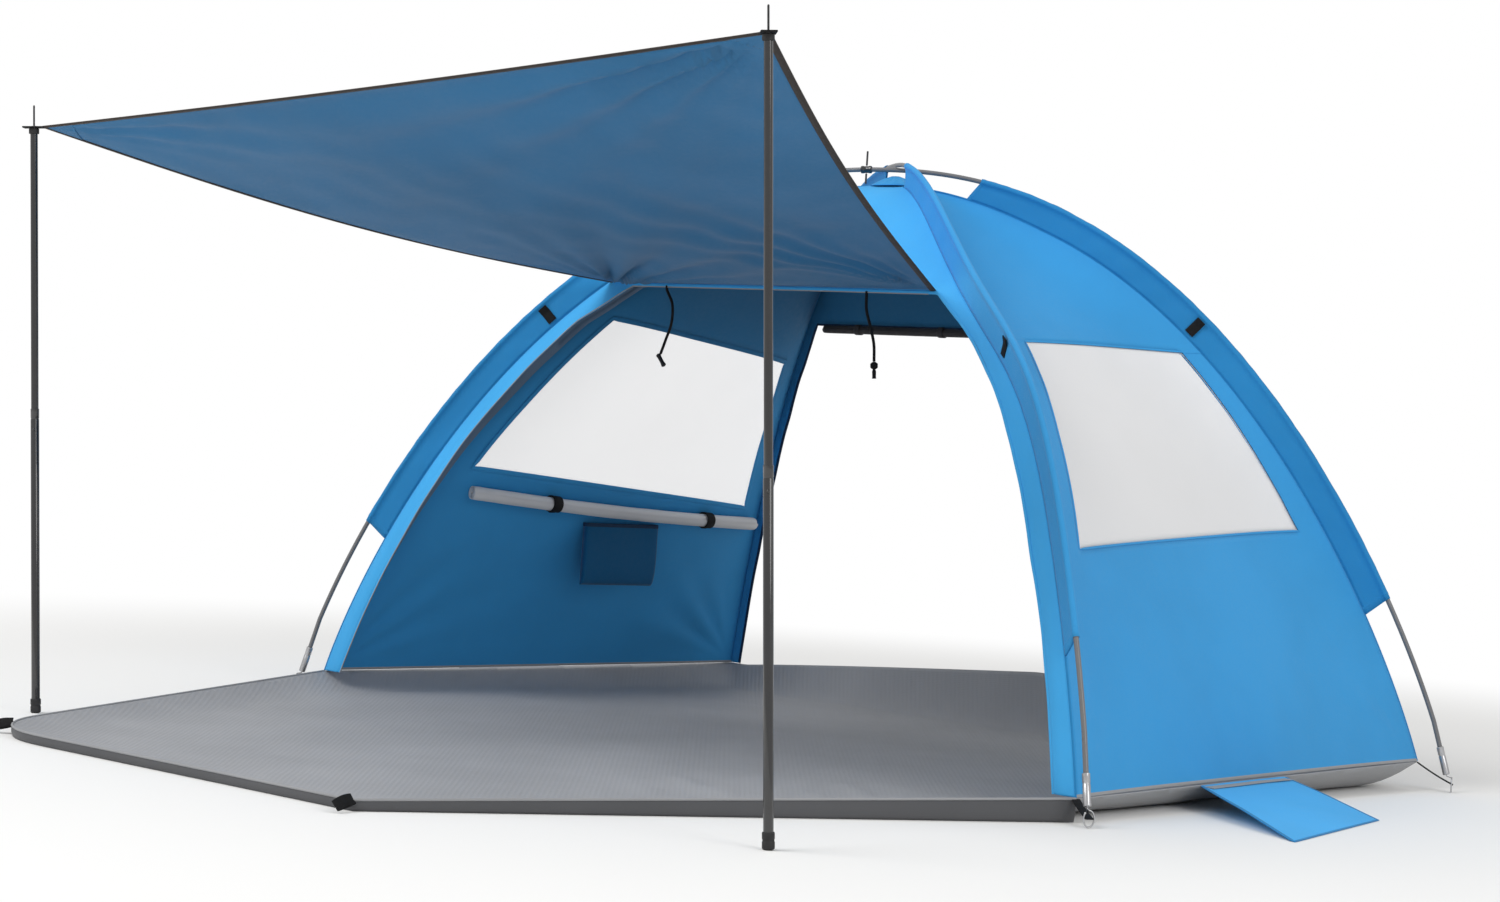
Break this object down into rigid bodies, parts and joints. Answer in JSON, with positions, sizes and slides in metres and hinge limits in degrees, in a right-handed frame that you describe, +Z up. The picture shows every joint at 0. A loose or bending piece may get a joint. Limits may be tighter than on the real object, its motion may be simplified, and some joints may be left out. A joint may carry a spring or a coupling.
{
  "type": "beach tent",
  "caption": "Open-fronted beach shelter of two crossed arch poles with mesh windows, a porch floor and an awning held up by poles.",
  "frame": {"origin": "on the ground in the middle of the floor's flat underside, just in front of the point below the crossing of the arch poles", "axes": "+Z up, the opening and the awning face -Y, +X to the right as seen from the opening"},
  "size_m": [3.0642, 2.7416, 1.4436],
  "materials": {
    "sky_fabric": "plain woven",
    "sleeve_fabric": "plain woven",
    "shade_fabric": "plain woven",
    "grey_fabric": "coated ripstop",
    "pale_mesh": "fine mesh",
    "dark_fabric": "coated",
    "black_webbing": "webbing",
    "grey_fibreglass": "glass-fibre rod",
    "dark_steel": "semi-gloss",
    "bright_steel": "plated",
    "black_rubber": "moulded"
  },
  "bodies": {
    "tent": {"arch_pole_lower": "grey_fibreglass", "arch_pole_upper": "grey_fibreglass", "awning": "shade_fabric", "clip_hanger": "dark_steel", "clip_spike": "dark_steel", "cord_knot": "black_webbing", "corner_webbing_front_left": "black_webbing", "corner_webbing_front_right": "black_webbing", "corner_webbing_rear_left": "black_webbing", "corner_webbing_rear_right": "black_webbing", "cover_strap_left_front": "black_webbing", "cover_strap_left_rear": "black_webbing", "cover_strap_right_front": "black_webbing", "cover_strap_right_rear": "black_webbing", "crown_clip": "dark_steel", "crown_patch": "sky_fabric", "ferrule_front_left": "bright_steel", "ferrule_front_right": "bright_steel", "ferrule_rear_left": "bright_steel", "ferrule_rear_right": "bright_steel", "floor": "grey_fabric", "front_panel": "sky_fabric", "ground_ring_front_left": "bright_steel", "ground_ring_front_right": "bright_steel", "ground_ring_rear_left": "bright_steel", "ground_ring_rear_right": "bright_steel", "lower_tube_left": "dark_steel", "lower_tube_right": "dark_steel", "peg_loop_left": "black_webbing", "peg_loop_right": "black_webbing", "pocket": "shade_fabric", "pole_foot_left": "black_rubber", "pole_foot_right": "black_rubber", "rear_door_roll": "dark_fabric", "rear_panel": "sky_fabric", "sleeve_front_left": "sleeve_fabric", "sleeve_front_right": "sleeve_fabric", "sleeve_rear_left": "sleeve_fabric", "sleeve_rear_right": "sleeve_fabric", "sleeve_tab_front_left": "black_webbing", "sleeve_tab_front_right": "black_webbing", "sleeve_tab_rear_left": "black_webbing", "sleeve_tab_rear_right": "black_webbing", "toggle": "black_rubber", "toggle_cord_left": "black_webbing", "toggle_cord_right": "black_webbing", "wall_left": "sky_fabric", "wall_right": "sky_fabric", "window_cover_left": "grey_fabric", "window_cover_right": "grey_fabric", "window_left": "pale_mesh", "window_right": "pale_mesh"},
    "right_pole_top": {"upper_tube_right": "dark_steel", "pole_cap_right": "black_rubber", "awning_tab_right": "black_webbing"},
    "left_pole_top": {"upper_tube_left": "dark_steel", "pole_cap_left": "black_rubber", "awning_tab_left": "black_webbing"},
    "right_sand_flap": {"sand_flap_right": "sky_fabric"},
    "left_sand_flap": {"sand_flap_left": "sky_fabric"}
  },
  "joints": [
    {"name": "right_pole_slide", "type": "slide", "parent": "tent", "child": "right_pole_top", "axis": [0.0409, 0.0524, -0.9978], "range_m": [0, 0.3], "deforming": ["awning"]},
    {"name": "left_pole_slide", "type": "slide", "parent": "tent", "child": "left_pole_top", "axis": [0.0409, 0.0524, -0.9978], "range_m": [0, 0.3]},
    {"name": "right_flap_hinge", "type": "hinge", "parent": "tent", "child": "right_sand_flap", "pos_m": [1.15249, -0.02927, 0.05264], "axis": [0.0584, -0.9982, -0.0113], "range_deg": [0, 100]},
    {"name": "left_flap_hinge", "type": "hinge", "parent": "tent", "child": "left_sand_flap", "pos_m": [-1.15249, -0.02927, 0.05264], "axis": [0.0584, 0.9982, 0.0113], "range_deg": [0, 100]}
  ],
  "couplings": [
    {"joint": "left_pole_slide", "follows": "right_pole_slide", "ratio": 1}
  ]
}
